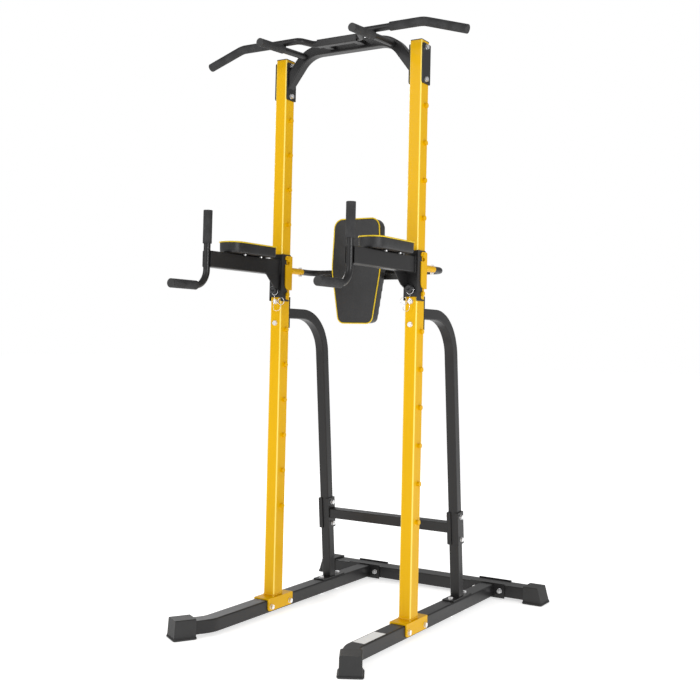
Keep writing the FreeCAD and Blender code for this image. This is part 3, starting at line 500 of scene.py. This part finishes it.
def arc_corners(corners, radii, steps=14):
    """A closed outline in a plane: straight between corners, each rounded by an arc.

    Each arc's points lie at the radius from its centre, along spokes that are blended
    evenly from one tangent point's spoke to the other's."""
    outline = []
    count = len(corners)
    for number in range(count):
        corner = np.array(corners[number], float)
        back = np.array(corners[number - 1]) - corner
        ahead = np.array(corners[(number + 1) % count]) - corner
        back, ahead = back / np.linalg.norm(back), ahead / np.linalg.norm(ahead)
        half = math.acos(np.clip(back @ ahead, -1, 1)) / 2
        inward = (back + ahead) / np.linalg.norm(back + ahead)
        centre = corner + inward * radii[number] / math.sin(half)
        enter = corner + back * radii[number] / math.tan(half) - centre
        leave = corner + ahead * radii[number] / math.tan(half) - centre
        share = np.linspace(0, 1, steps)[:, None]
        spoke = enter * (1 - share) + leave * share
        outline.append(centre + spoke / np.linalg.norm(spoke, axis=1)[:, None] * radii[number])
    return np.concatenate(outline)


def even_outline(outline, count):
    """The closed outline at points evenly spaced along its length."""
    closed = np.vstack([outline, outline[:1]])
    steps = np.linalg.norm(np.diff(closed, axis=0), axis=1)
    along = np.concatenate([[0], np.cumsum(steps)])
    wanted = np.linspace(0, along[-1], count, endpoint=False)
    return np.stack([np.interp(wanted, along, closed[:, axis]) for axis in range(2)], 1)


def inset_outline(outline, amount):
    """The outline moved inwards along its normals by amount."""
    tangent = np.roll(outline, -1, axis=0) - np.roll(outline, 1, axis=0)
    tangent /= np.linalg.norm(tangent, axis=1)[:, None]
    normal = np.stack([-tangent[:, 1], tangent[:, 0]], 1)
    towards = np.sign(np.sum(normal * (outline.mean(0) - outline), axis=1).mean())
    return outline + normal * towards * amount


def tube_along(name, path, radius, around=10, ripple=None):
    """A closed tube: circles of the radius, times the ripple, square to the closed path."""
    tangent = np.roll(path, -1, axis=0) - np.roll(path, 1, axis=0)
    tangent /= np.linalg.norm(tangent, axis=1)[:, None]
    plane = np.linalg.svd(path - path.mean(0), full_matrices=False)[2][2]
    side = np.cross(tangent, plane)
    side /= np.linalg.norm(side, axis=1)[:, None]
    up = np.cross(side, tangent)
    angle = np.linspace(0, 2 * math.pi, around, endpoint=False)[:, None, None]
    scale = radius * (np.ones(len(path)) if ripple is None else ripple)[None, :, None]
    grid = path[None] + scale * (np.cos(angle) * side[None] + np.sin(angle) * up[None])
    return surface(name, grid, close_v=True)


def mirrored_copy(obj, name):
    """The object's mirror image across x = 0, with its faces still outwards."""
    mesh = obj.data.copy()
    mesh.transform(Matrix.Diagonal((-1, 1, 1, 1)))
    mesh.flip_normals()
    return in_scene(name, mesh)


# ----------------------------------------------------------------- upholstery
def slab(name, outline, place, depths, shrink):
    """A pad's cover before it swells: rings of the outline from the middle of the back,
    round the side and the seam to the middle of the front.

    depths is (back, seam, front) along the pad's thickness; place turns an outline point
    and a depth into a point in space; shrink is how far the sides start inside."""
    back, seam, front = depths
    rounding = abs(front - seam)
    shares = [0.0, 0.25, 0.5, 0.75]
    rings = [(share, back, 0.0) for share in shares] + [(1.0, back, shrink)]
    rings += [(1.0, back + (seam - back) * t, shrink * 0.6 * (1 - t)) for t in (0.3, 0.65, 1.0)]
    turns = np.linspace(0, math.pi / 2, 5)[1:]
    rings += [(1.0, seam + (front - seam) * math.sin(turn),
               rounding * (1 - math.cos(turn)) * EDGE_SETBACK) for turn in turns]
    rings += [(share, front, rounding * EDGE_SETBACK) for share in reversed(shares)]
    centre = outline.mean(0)
    grid = []
    for share, depth, inset in rings:
        ring = inset_outline(outline, inset)
        grid.append(place(centre + (ring - centre) * max(share, 1e-4), depth))
    return surface(name, np.stack(grid, 1), caps=True)


def remesh(obj, voxel):
    """Give the object an even mesh with edges about a voxel long."""
    modifier = obj.modifiers.new("cloth mesh", "REMESH")
    modifier.mode = "VOXEL"
    modifier.voxel_size = voxel
    modifier.use_smooth_shade = True
    return applied(obj)


def applied(obj):
    """Make the object's modifiers part of its mesh."""
    depsgraph = bpy.context.evaluated_depsgraph_get()
    mesh = bpy.data.meshes.new_from_object(obj.evaluated_get(depsgraph))
    obj.modifiers.clear()
    obj.data = mesh
    return obj


def swell(obj, held, limit):
    """Swell a pad's cover by cloth simulation under inner pressure.

    held is a mask over the vertices that stay: where the cover lies on its board and
    along the seam. Each move is shortened to limit * tanh(move / limit), so no point ends
    up further than limit from where it began."""
    start = coordinates(obj.data)
    group = obj.vertex_groups.new(name="held")
    group.add(np.flatnonzero(held).tolist(), 1.0, "REPLACE")
    cloth = obj.modifiers.new("cover", "CLOTH")
    cloth.settings.use_pressure = True
    cloth.settings.uniform_pressure_force = COVER_PRESSURE
    cloth.settings.vertex_group_mass = "held"
    cloth.settings.effector_weights.gravity = 0.0
    cloth.settings.quality = 5
    cloth.point_cache.frame_start, cloth.point_cache.frame_end = 1, COVER_FRAMES
    scene = bpy.context.scene
    for number in range(1, COVER_FRAMES + 1):
        scene.frame_set(number)
    applied(obj)
    scene.frame_set(1)
    moved = coordinates(obj.data) - start
    length = np.linalg.norm(moved, axis=1)[:, None]
    capped = limit * np.tanh(length / limit)
    points = start + moved * np.where(length > 0, capped / np.maximum(length, 1e-9), 0)
    obj.data.vertices.foreach_set("co", points.ravel())
    obj.data.update()
    obj.vertex_groups.clear()
    return obj


def finish_pad(obj, material):
    """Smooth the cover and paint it."""
    obj.data.shade_smooth()
    paint(obj, material)
    smooth = obj.modifiers.new("smooth", "SUBSURF")
    smooth.levels = smooth.render_levels = 1
    return obj


def cover(name, outline, place, depths, thickness_axis, face_axes):
    """A swollen cover, held where it lies on its board and along its seam.

    thickness_axis is the axis through the pad, and face_axes are the outline's two."""
    size = sizes()
    obj = remesh(slab(name, outline, place, depths, BACK_INSET), size.voxel)
    points = coordinates(obj.data)
    depth = points[:, thickness_axis]
    back, seam, _ = depths
    on_board = np.abs(depth - back) < size.voxel * 0.6
    flat = points[:, face_axes]
    nearest = np.min(np.linalg.norm(flat[:, None] - outline[None, ::3], axis=2), axis=1)
    on_seam = (np.abs(depth - seam) < size.voxel * 0.55) & (nearest < size.voxel)
    swell(obj, on_board | on_seam, size.crown)
    return obj


def stitches(name, path, outward, length):
    """Stitches beside the piping: short rounded rods laid end to end along the path.

    Each is an ellipse of revolution: radius * sqrt(1 - t * t) along t from -1 to 1, held
    at 0.04 of the radius where its ends are closed. The grid has the shape (stitch, point
    around, point along, 3)."""
    t = np.array([-1.0, -0.8, -0.3, 0.3, 0.8, 1.0])
    turn = np.linspace(0, 2 * math.pi, 5, endpoint=False)[:, None, None]
    tangent = np.roll(path, -1, axis=0) - np.roll(path, 1, axis=0)
    tangent /= np.linalg.norm(tangent, axis=1)[:, None]
    side = np.cross(tangent, outward)
    side /= np.linalg.norm(side, axis=1)[:, None]
    up = np.cross(side, tangent)
    thick = (THREAD_RADIUS * np.sqrt(np.maximum(1 - t * t, 0.0016)))[:, None]
    reach = (t * length * (THREAD_SHARE / 2))[:, None]
    middle, ahead, side, up = (row[:, None, None] for row in (path, tangent, side, up))
    grid = middle + ahead * reach + thick * (np.cos(turn) * side + np.sin(turn) * up)
    count, around, steps = grid.shape[:3]
    index = np.arange(around * steps).reshape(around, steps)
    beside = np.roll(index, -1, axis=0)
    quads = np.stack([index[:, :-1], beside[:, :-1], beside[:, 1:], index[:, 1:]], -1)
    ends = np.stack([index[:, 0][::-1], index[:, -1]])
    offsets = (np.arange(count) * around * steps)[:, None, None]
    faces = (quads.reshape(-1, 4)[None] + offsets).reshape(-1, 4).tolist()
    faces += (ends[None] + offsets).reshape(-1, around).tolist()
    return smooth_mesh(name, grid.reshape(-1, 3), faces)


def backrest_outline():
    """The backrest pad seen from the front, as (x, z), from the CAD pad's box.

    Its half width is 0.70 of the widest at the foot, full a little above the middle and
    0.93 of it at the top; every corner is rounded."""
    low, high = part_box("backrest_pad")
    middle, wide, tall = (low.x + high.x) / 2, (high.x - low.x) / 2, high.z - low.z
    profile = [(0.700, 0.0, 0.068), (1.017, 0.517, 0.634), (0.933, 1.0, 0.088)]
    right = [(middle + wide * w, low.z + tall * h) for w, h, _ in profile]
    corners = right + [(2 * middle - x, z) for x, z in reversed(right)]
    radii = [tall * radius for _, _, radius in profile]
    return even_outline(arc_corners(corners, radii + radii[::-1]), 220)


class TOWER_OT_backrest_cover(bpy.types.Operator):
    """Leatherette backrest cover with its piping and stitches"""
    bl_idname = "tower.backrest_cover"
    bl_label = "Backrest cover"

    def execute(self, context):
        low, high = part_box("backrest_pad")
        outline = backrest_outline()
        seam = low.y + SEAM_DEPTH

        def place(flat, depth):
            return np.stack([flat[:, 0], np.full(len(flat), depth), flat[:, 1]], 1)

        depths = (high.y, seam, low.y + FACE_DEPTH)
        pad = cover("backrest_cover", outline, place, depths, 1, [0, 2])
        finish_pad(pad, leatherette("black leatherette", colours().cover))
        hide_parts("backrest_pad")
        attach(pad, "backrest")
        cord = vinyl_cord("yellow piping", colours().piping)
        path = place(inset_outline(outline, -PIPING_STAND_OUT), seam)
        piping = paint(tube_along("backrest_piping", path, sizes().piping), cord)
        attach(piping, "backrest")
        dark = thread("black thread", (0.03, 0.03, 0.03))
        # Counted over less than the whole way round, so that the stitches keep clear
        count = int(2.0 * np.linalg.norm(high - low) / sizes().stitch)
        sewn = inset_outline(even_outline(outline, count), STITCH_INSET)
        row = paint(stitches("backrest_stitches", place(sewn, seam + STITCH_DEPTH),
                             np.array([0.0, 1.0, 0.0]), sizes().stitch), dark)
        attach(row, "backrest")
        return {"FINISHED"}


class TOWER_OT_armrest_covers(bpy.types.Operator):
    """Leatherette armrest covers with their piping and stitches"""
    bl_idname = "tower.armrest_covers"
    bl_label = "Armrest covers"

    def execute(self, context):
        low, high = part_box("armrest_pad_right")
        front, back = ARMREST_CORNERS
        corners = [(low.x, low.y), (high.x, low.y), (high.x, high.y), (low.x, high.y)]
        outline = even_outline(arc_corners(corners, [front, front, back, back]), 200)
        seam = high.z - SEAM_DEPTH

        def place(flat, depth):
            return np.stack([flat[:, 0], flat[:, 1], np.full(len(flat), depth)], 1)

        leather = bpy.data.materials["black leatherette"]
        # Counted over less than the whole way round, so that the stitches keep clear
        count = int(1.7 * (high.y - low.y + high.x - low.x) / sizes().stitch)
        sewn = inset_outline(even_outline(outline, count), STITCH_INSET)
        depths = (low.z, seam, high.z - FACE_DEPTH)
        path = place(inset_outline(outline, -PIPING_STAND_OUT), seam)
        right = {
            "armrest_cover": finish_pad(
                cover("armrest_cover_right", outline, place, depths, 2, [0, 1]),
                leather),
            "armrest_piping": paint(tube_along("armrest_piping_right", path, sizes().piping),
                                    bpy.data.materials["yellow piping"]),
            "armrest_stitches": paint(
                stitches("armrest_stitches_right", place(sewn, seam - STITCH_DEPTH),
                         np.array([0.0, 0.0, 1.0]), sizes().stitch),
                bpy.data.materials["black thread"]),
        }
        for kind, obj in right.items():
            twin = mirrored_copy(obj, kind + "_left")
            if kind == "armrest_cover":
                finish_pad(twin, leather)
            for side, piece in (("right", obj), ("left", twin)):
                if kind == "armrest_cover":
                    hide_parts("armrest_pad_" + side)
                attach(piece, "arm_" + side)
        return {"FINISHED"}


# ------------------------------------------------------------------ hardware
class TOWER_OT_knobs(bpy.types.Operator):
    """Fluted locking knobs on their screws.

    A profile is turned round the screw's axis. Its rim's radius is cut between the lobes
    by the lobes' depth times ((1 + cos(lobes * angle)) / 2) cubed."""
    bl_idname = "tower.knobs"
    bl_label = "Locking knobs"

    def execute(self, context):
        plastic = moulded("knob plastic", (0.014, 0.014, 0.015), 900.0, 0.35, 0.00008)
        for side in SIDES:
            name = "locking_knob_" + side
            low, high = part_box(name)
            x, z = (low.x + high.x) / 2, (low.z + high.z) / 2
            radius, front, tip = (high.x - low.x) / 2, low.y, high.y
            back = front + KNOB_HEAD
            # Share of the radius and place along the axis, from the face to the screw's tip
            profile = np.array([
                (0.0, front + 0.0018), (0.30, front + 0.0016), (0.34, front), (0.62, front),
                (0.86, front + 0.0006), (0.97, front + 0.0026), (1.0, front + 0.0050),
                (0.99, back - 0.0016), (0.93, back), (0.5, back), (0.33, back),
                (0.3125, back + 0.001), (0.3125, tip - 0.0006), (0.27, tip), (0.0, tip)])
            turn = np.linspace(0, 2 * math.pi, 96, endpoint=False)
            lobes = 1 - KNOB_LOBE_DEPTH * (0.5 + 0.5 * np.cos(turn * KNOB_LOBES)) ** 3
            share = profile[:, 0][None]
            fluted = np.where(share > 0.8, share * lobes[:, None], np.maximum(share, 1e-4)) * radius
            grid = np.stack([x + fluted * np.cos(turn)[:, None],
                             np.broadcast_to(profile[:, 1], fluted.shape),
                             z + fluted * np.sin(turn)[:, None]], -1)
            knob = paint(surface("knob_head_" + side, grid, caps=True), plastic)
            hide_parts(name)
            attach(knob, "knob_" + side)
        return {"FINISHED"}


def bead_ripple(count):
    """A bead's radius along its length, in times its own: 1 + 0.16 times the sine of a
    quarter turn a step + 0.05 times the sine of 1.7 radians a step."""
    step = np.arange(count)
    return 1 + 0.16 * np.sin(step * 2 * math.pi / 4) + 0.05 * np.sin(step * 1.7)


def rectangle_ring(centre, u, v, width, height, radius, spacing=0.0016):
    """Evenly spaced points round a rounded rectangle that lies in the plane of u and v."""
    half_w, half_h = width / 2, height / 2
    flat = arc_corners([(-half_w, -half_h), (half_w, -half_h), (half_w, half_h), (-half_w, half_h)],
                       [radius] * 4)
    length = 2 * (width + height)
    flat = even_outline(flat, int(length / spacing) // 4 * 4)
    return np.array(centre) + flat[:, :1] * np.array(u) + flat[:, 1:] * np.array(v)


class TOWER_OT_weld_beads(bpy.types.Operator):
    """Weld beads where the tubes meet their plates"""
    bl_idname = "tower.weld_beads"
    bl_label = "Weld beads"

    def execute(self, context):
        yellow = weld_metal("yellow weld", colours().yellow)
        black = weld_metal("black weld", colours().black)
        x_axis, y_axis, z_axis = np.eye(3)
        for side in SIDES:
            low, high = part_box("upright_upper_" + side)
            middle = (low + high) / 2
            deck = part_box("base_beam_" + side)[1].z + BEAD_STAND_OFF
            # Each bead's middle, its plane's two axes, its width, height and corner radius,
            # its material and slot, and the body that it rides on
            rings = {
                "upright_bead_": ((middle.x, middle.y, deck), x_axis, y_axis,
                                  high.x - low.x, high.y - low.y, 0.005,
                                  yellow, "yellow_paint", "frame"),
                "leg_top_bead_": ((middle.x, high.y + PLATE, LEG_HEAD_HEIGHT), x_axis, z_axis,
                                  LEG_TUBE, LEG_TUBE, 0.004,
                                  black, "black_paint", "frame"),
                "arm_bead_": ((middle.x, low.y - BEAD_STAND_OFF, ARM_RAIL_HEIGHT), x_axis, z_axis,
                              *ARM_TUBE, 0.004,
                              black, "black_paint", "arm_" + side),
            }
            for name, (centre, u, v, w, h, r, finish, slot, body) in rings.items():
                path = rectangle_ring(centre, u, v, w, h, r)
                bead = tube_along(name + side, path, sizes().bead, 8, bead_ripple(len(path)))
                paint(bead, finish)
                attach(bead, body)
        return {"FINISHED"}


class TOWER_OT_foot_lips(bpy.types.Operator):
    """Moulded lips round the soles of the rubber feet"""
    bl_idname = "tower.foot_lips"
    bl_label = "Foot lips"

    def execute(self, context):
        radius = sizes().lip
        rubber = moulded("foot rubber", colours().rubber, 520.0, 0.55, 0.00018)
        for node, turn in (("front_feet", FRONT_FOOT_TURN), ("rear_feet", 0.0)):
            sole = coordinates(frame["nodes"][node].data)
            sole = sole[sole[:, 2] < SOLE_HEIGHT]
            for side, sign in SIDES.items():
                flat = sole[sole[:, 0] * sign > 0][:, :2]
                u = np.array([math.cos(turn), math.sin(turn) * sign])
                v = np.array([-u[1], u[0]])
                along = np.stack([flat @ u, flat @ v], 1)
                low, high = along.min(0), along.max(0)
                middle = (low + high) / 2
                centre = middle[0] * u + middle[1] * v
                path = rectangle_ring((*centre, radius), (*u, 0.0), (*v, 0.0),
                                      *(high - low), SOLE_CORNER)
                name = node.replace("feet", "foot_lip_") + side
                lip = paint(tube_along(name, path, radius), rubber)
                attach(lip, "frame")
        return {"FINISHED"}


# ------------------------------------------------------------------ finishes
class TOWER_OT_finishes(bpy.types.Operator):
    """Powder coats, zinc, rubber, foam and the other finishes of the CAD nodes"""
    bl_idname = "tower.finishes"
    bl_label = "Finishes"

    def execute(self, context):
        palette = colours()
        makers = {
            "yellow_paint": powder_coat("yellow powder coat", palette.yellow,
                                        (0.84, 0.56, 0.10), 0.30, 0.12,
                                        # The paler colour painted on the uprights' corners as a
                                        # highlight
                                        (0.98, 0.74, 0.16)),
            "black_paint": powder_coat("black powder coat", palette.black,
                                       (0.06, 0.06, 0.06), 0.34, 0.36),
            "zinc": zinc_plate("bright zinc", (0.95, 0.95, 0.96), 0.24, (0.62, 0.61, 0.60)),
            "foam": foam_sleeve("dark foam", palette.foam),
            "plug_plastic": moulded("plug plastic", palette.rubber),
            "foot_rubber": bpy.data.materials["foot rubber"],
            "leatherette": bpy.data.materials["black leatherette"],
            "board": stained_ply("stained plywood"),
            "label_film": label_film("blank label"),
            "knob_plastic": bpy.data.materials["knob plastic"],
            "ring_steel": zinc_plate("ring steel", (0.86, 0.86, 0.87), 0.12, (0.6, 0.6, 0.6)),
            "sleeve_steel": zinc_plate("mill steel", (0.35, 0.34, 0.33), 0.45, (0.2, 0.16, 0.13)),
        }
        for part in frame["record"]["subparts"]:
            paint(frame["nodes"][part["node"]], makers[part["material_slot"]])
        return {"FINISHED"}


# --------------------------------------------------------------------- stage
class TOWER_OT_studio(bpy.types.Operator):
    """Pale floor, soft lights and the camera"""
    bl_idname = "tower.studio"
    bl_label = "Studio"

    def execute(self, context):
        studio = context.scene.tower_studio
        across = np.linspace(-FLOOR_REACH, FLOOR_REACH, 5)
        x, y = np.meshgrid(across, across, indexing="ij")
        floor = surface("studio_floor", np.stack([x, y, np.full_like(x, -FLOOR_GAP)], -1), False)
        # An open sheet encloses no volume, so its way up is read from a face
        if floor.data.polygons[0].normal.z < 0:
            floor.data.flip_normals()
        paint(floor, studio_floor("seamless paper"))
        self.surroundings(context.scene, studio)
        for name, settings in LIGHTS.items():
            self.area(name, *settings)
        self.camera(context.scene, studio)
        return {"FINISHED"}

    def surroundings(self, scene, studio):
        """Even surroundings: white to the camera, and of the sky's strength as light."""
        world = bpy.data.worlds.new("even white")
        world.use_nodes = True
        nodes, links = world.node_tree.nodes, world.node_tree.links
        background = nodes["Background"]
        background.inputs["Color"].default_value = (1, 1, 1, 1)
        seen = nodes.new("ShaderNodeLightPath").outputs["Is Camera Ray"]
        strength = nodes.new("ShaderNodeMapRange")
        strength.inputs["To Min"].default_value = studio.sky
        strength.inputs["To Max"].default_value = 1.0
        links.new(seen, strength.inputs["Value"])
        links.new(strength.outputs["Result"], background.inputs["Strength"])
        scene.world = world
        scene.view_settings.view_transform = "Standard"

    def area(self, name, where, target, width, power):
        """A square lamp at where that points at the target."""
        light = bpy.data.lights.new(name, "AREA")
        light.size = width
        light.energy = power
        obj = in_scene(name, light)
        obj.location = where
        obj.rotation_euler = (Vector(target) - Vector(where)).to_track_quat("-Z", "Y").to_euler()

    def camera(self, scene, studio):
        """Forward is (-sin yaw cos pitch, cos yaw cos pitch, sin pitch); right is level
        before the roll turns it and the upward direction about forward."""
        forward = Vector((-math.sin(studio.yaw) * math.cos(studio.pitch),
                          math.cos(studio.yaw) * math.cos(studio.pitch), math.sin(studio.pitch)))
        right = Vector((math.cos(studio.yaw), math.sin(studio.yaw), 0))
        upward = right.cross(forward)
        lean_c, lean_s = math.cos(studio.roll), math.sin(studio.roll)
        side = right * lean_c + upward * lean_s
        top = upward * lean_c - right * lean_s
        data = bpy.data.cameras.new("camera")
        data.lens = studio.lens
        data.sensor_width = 36.0
        data.shift_x, data.shift_y = studio.shift
        data.clip_end = 200.0
        obj = in_scene("camera", data)
        turned = Matrix((side, top, -forward)).transposed().to_4x4()
        obj.matrix_world = Matrix.Translation(Vector(studio.eye)) @ turned
        scene.camera = obj


class TOWER_PT_panel(bpy.types.Panel):
    """The tower's pieces, finishes and studio"""
    bl_label = "Power tower"
    bl_idname = "TOWER_PT_panel"
    bl_space_type = "VIEW_3D"
    bl_region_type = "UI"
    bl_category = "Tower"

    def draw(self, context):
        for operator in OPERATORS:
            self.layout.operator(operator.bl_idname)
        for group in (context.scene.tower_sizes, context.scene.tower_colours,
                      context.scene.tower_studio):
            column = self.layout.column()
            for name in group.bl_rna.properties.keys():
                if name not in ("rna_type", "name"):
                    column.prop(group, name)


OPERATORS = (TOWER_OT_backrest_cover, TOWER_OT_armrest_covers, TOWER_OT_knobs,
             TOWER_OT_weld_beads, TOWER_OT_foot_lips, TOWER_OT_finishes, TOWER_OT_studio)
GROUPS = {"tower_sizes": TowerSizes, "tower_colours": TowerColours, "tower_studio": TowerStudio}


def register():
    for group in GROUPS.values():
        bpy.utils.register_class(group)
    for operator in OPERATORS:
        bpy.utils.register_class(operator)
    bpy.utils.register_class(TOWER_PT_panel)
    for name, group in GROUPS.items():
        setattr(bpy.types.Scene, name, bpy.props.PointerProperty(type=group))


def unregister():
    for name in GROUPS:
        delattr(bpy.types.Scene, name)
    bpy.utils.unregister_class(TOWER_PT_panel)
    for operator in reversed(OPERATORS):
        bpy.utils.unregister_class(operator)
    for group in reversed(list(GROUPS.values())):
        bpy.utils.unregister_class(group)


def main():
    register()
    for operator in OPERATORS:
        family, name = operator.bl_idname.split(".")
        getattr(getattr(bpy.ops, family), name)()


if __name__ == "__main__":
    main()
